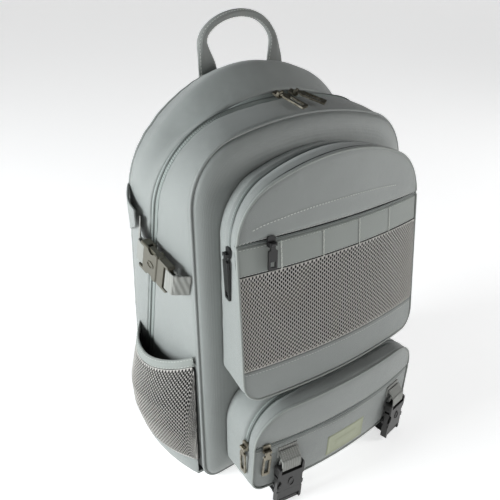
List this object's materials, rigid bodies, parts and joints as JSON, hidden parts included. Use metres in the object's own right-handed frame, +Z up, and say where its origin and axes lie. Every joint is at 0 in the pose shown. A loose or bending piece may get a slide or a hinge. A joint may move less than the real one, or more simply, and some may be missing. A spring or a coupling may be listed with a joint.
{
  "type": "daypack",
  "caption": "Daypack with an arched main compartment, domed front pocket with mesh, wide lower pocket, side mesh pockets, buckled straps, haul handle and padded shoulder straps.",
  "frame": {"origin": "centre of the flat base that the pack stands on", "axes": "+Z up, front pockets face -Y, back panel and shoulder straps face +Y, +X to the wearer's right"},
  "size_m": [0.376, 0.2799, 0.498],
  "materials": {
    "shell_fabric": "smooth coated polyester twill, grey-green",
    "lining_fabric": "thin woven lining",
    "back_fabric": "woven back-panel fabric",
    "pocket_mesh": "stretch mesh with diamond holes",
    "pocket_binding": "woven binding tape",
    "zip_tape": "woven zip tape with a nylon coil",
    "webbing": "flat woven webbing",
    "dark_webbing": "flat woven webbing, black",
    "side_buckle_plastic": "satin moulded acetal, olive",
    "lash_buckle_plastic": "satin moulded acetal, charcoal",
    "label_rubber": "plain moulded soft PVC",
    "pad_mesh": "spacer mesh over foam",
    "frame_sheet": "plain plastic sheet",
    "antique_metal": "antique finish",
    "black_metal": "gloss black with a bare metal end"
  },
  "bodies": {
    "pack": {"back_pads": "pad_mesh", "back_panel": "back_fabric", "base_panel": "shell_fabric", "daisy_chain_band": "webbing", "frame_sheet": "frame_sheet", "front_gusset": "shell_fabric", "front_mesh_panel": "pocket_mesh", "front_panel": "shell_fabric", "front_piping": "pocket_binding", "haul_handle_feet": "webbing", "label_patch": "label_rubber", "ladder_locks": "lash_buckle_plastic", "laptop_sleeve": "lining_fabric", "lash_buckle_males": "lash_buckle_plastic", "lash_straps": "dark_webbing", "lash_tab_loop_left": "webbing", "lash_tab_loop_right": "webbing", "lash_tabs": "webbing", "lower_face_zip": "zip_tape", "lower_pocket_gusset": "shell_fabric", "lower_pocket_lower_face": "shell_fabric", "lower_pocket_upper_face": "shell_fabric", "lower_pocket_zip": "zip_tape", "main_zip": "zip_tape", "mesh_pocket_zip": "zip_tape", "rear_gusset": "shell_fabric", "shoulder_strap_left": "pad_mesh", "shoulder_strap_right": "pad_mesh", "shoulder_webbing": "dark_webbing", "side_buckle_males": "side_buckle_plastic", "side_front_webbing": "webbing", "side_pocket_bases": "shell_fabric", "side_pocket_bindings": "pocket_binding", "side_pocket_mesh_left": "pocket_mesh", "side_pocket_mesh_right": "pocket_mesh", "side_rear_webbing_left": "webbing", "side_rear_webbing_right": "webbing", "side_strap_wings": "shell_fabric", "upper_pocket_flap": "shell_fabric", "upper_pocket_gusset": "shell_fabric", "upper_pocket_hem": "shell_fabric", "upper_pocket_liner": "lining_fabric", "upper_pocket_zip": "zip_tape"},
    "haul_handle": {"haul_handle": "webbing"},
    "main_zip_left_slider": {"main_zip_left_slider": "antique_metal"},
    "main_zip_left_pull": {"main_zip_left_pull": "antique_metal"},
    "main_zip_right_slider": {"main_zip_right_slider": "antique_metal"},
    "main_zip_right_pull": {"main_zip_right_pull": "antique_metal"},
    "upper_pocket_zip_slider": {"upper_pocket_zip_slider": "black_metal"},
    "upper_pocket_zip_pull": {"upper_pocket_zip_pull": "black_metal"},
    "mesh_pocket_zip_slider": {"mesh_pocket_zip_slider": "black_metal"},
    "mesh_pocket_zip_pull": {"mesh_pocket_zip_pull": "black_metal"},
    "lower_pocket_zip_slider": {"lower_pocket_zip_slider": "antique_metal"},
    "lower_pocket_zip_pull": {"lower_pocket_zip_pull": "antique_metal"},
    "lower_face_zip_slider": {"lower_face_zip_slider": "antique_metal"},
    "lower_face_zip_pull": {"lower_face_zip_pull": "antique_metal"},
    "side_buckle_left": {"side_buckle_female_left": "side_buckle_plastic"},
    "lash_buckle_left": {"lash_buckle_female_left": "lash_buckle_plastic"},
    "side_buckle_right": {"side_buckle_female_right": "side_buckle_plastic"},
    "lash_buckle_right": {"lash_buckle_female_right": "lash_buckle_plastic"}
  },
  "joints": [
    {"name": "haul_handle_fold", "type": "hinge", "parent": "pack", "child": "haul_handle", "pos_m": [0, 0.0762, 0.429], "axis": [1, 0, 0], "range_deg": [-80, 0], "stiffness_Nm_per_rad": 0.08},
    {"name": "main_zip_left_travel", "type": "hinge", "parent": "pack", "child": "main_zip_left_slider", "pos_m": [0, 0.04914, 0.04455], "axis": [0, -0.9915, -0.1305], "range_deg": [0, 8.5]},
    {"name": "main_zip_right_travel", "type": "hinge", "parent": "pack", "child": "main_zip_right_slider", "pos_m": [0, 0.04914, 0.04455], "axis": [0, -0.9915, -0.1305], "range_deg": [-8.5, 0]},
    {"name": "upper_pocket_zip_travel", "type": "hinge", "parent": "pack", "child": "upper_pocket_zip_slider", "pos_m": [-0.06764, -0.08188, 0.30165], "axis": [0, -0.9893, 0.1462], "range_deg": [-50, 0]},
    {"name": "lower_pocket_zip_travel", "type": "hinge", "parent": "pack", "child": "lower_pocket_zip_slider", "pos_m": [-0.08361, -0.1195, 0.08221], "axis": [0, -1, 0], "range_deg": [-55, 0]},
    {"name": "mesh_pocket_zip_travel", "type": "hinge", "parent": "pack", "child": "mesh_pocket_zip_slider", "pos_m": [0, 0.58219, 0.20468], "axis": [0, 0.1462, 0.9893], "range_deg": [0, 15]},
    {"name": "lower_face_zip_travel", "type": "hinge", "parent": "pack", "child": "lower_face_zip_slider", "pos_m": [0, 0.40613, 0.082], "axis": [0, 0, 1], "range_deg": [0, 0.45]},
    {"name": "main_zip_left_pull_swing", "type": "hinge", "parent": "main_zip_left_slider", "child": "main_zip_left_pull", "pos_m": [-0.01077, -0.00376, 0.41865], "axis": [-0.9777, -0.1782, -0.111], "range_deg": [0, 90]},
    {"name": "main_zip_right_pull_swing", "type": "hinge", "parent": "main_zip_right_slider", "child": "main_zip_right_pull", "pos_m": [0.01212, -0.00357, 0.41869], "axis": [-0.8826, -0.4395, -0.1672], "range_deg": [0, 90]},
    {"name": "upper_pocket_zip_pull_swing", "type": "hinge", "parent": "upper_pocket_zip_slider", "child": "upper_pocket_zip_pull", "pos_m": [-0.13667, -0.08199, 0.29478], "axis": [0.2217, 0.9751, 0], "range_deg": [0, 100]},
    {"name": "mesh_pocket_zip_pull_swing", "type": "hinge", "parent": "mesh_pocket_zip_slider", "child": "mesh_pocket_zip_pull", "pos_m": [-0.09886, -0.10623, 0.30591], "axis": [-0.9899, 0.1421, 0], "range_deg": [0, 100]},
    {"name": "lower_pocket_zip_pull_swing", "type": "hinge", "parent": "lower_pocket_zip_slider", "child": "lower_pocket_zip_pull", "pos_m": [-0.13272, -0.11915, 0.07799], "axis": [0.074, 0.9973, 0], "range_deg": [0, 100]},
    {"name": "lower_face_zip_pull_swing", "type": "hinge", "parent": "lower_face_zip_slider", "child": "lower_face_zip_pull", "pos_m": [-0.11612, -0.14101, 0.08], "axis": [-0.9782, 0.2076, 0], "range_deg": [0, 100]},
    {"name": "side_buckle_left_release", "type": "slide", "parent": "pack", "child": "side_buckle_left", "axis": [0, 0.9816, 0.1908], "range_m": [0, 0.024], "deforming": ["side_rear_webbing_left"]},
    {"name": "lash_buckle_left_release", "type": "slide", "parent": "pack", "child": "lash_buckle_left", "axis": [0, 0, 1], "range_m": [0, 0.024], "deforming": ["lash_tab_loop_left"]},
    {"name": "side_buckle_right_release", "type": "slide", "parent": "pack", "child": "side_buckle_right", "axis": [0, 0.9816, 0.1908], "range_m": [0, 0.024], "deforming": ["side_rear_webbing_right"]},
    {"name": "lash_buckle_right_release", "type": "slide", "parent": "pack", "child": "lash_buckle_right", "axis": [0, 0, 1], "range_m": [0, 0.024], "deforming": ["lash_tab_loop_right"]}
  ]
}
